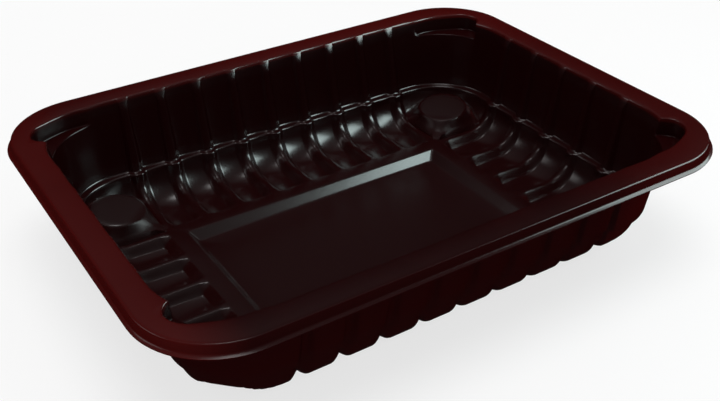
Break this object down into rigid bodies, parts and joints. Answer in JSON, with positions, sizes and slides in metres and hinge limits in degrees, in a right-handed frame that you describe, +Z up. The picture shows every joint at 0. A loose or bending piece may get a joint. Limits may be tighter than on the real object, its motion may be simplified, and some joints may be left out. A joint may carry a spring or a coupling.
{
  "type": "food tray",
  "caption": "Shallow rectangular thermoformed plastic food tray with a flat sealing flange, ribbed walls and a ridged floor round a flat centre recess.",
  "frame": {"origin": "centre of the tray in plan, on the surface it stands on", "axes": "+Z up, +X along the long side, +Y across the short side; the tray is symmetric about both"},
  "size_m": [0.19, 0.144, 0.0384],
  "materials": {
    "black_plastic": "glossy thermoformed sheet, near-black with a dark red-brown tint"
  },
  "bodies": {
    "root": {"tray": "black_plastic"}
  },
  "joints": []
}
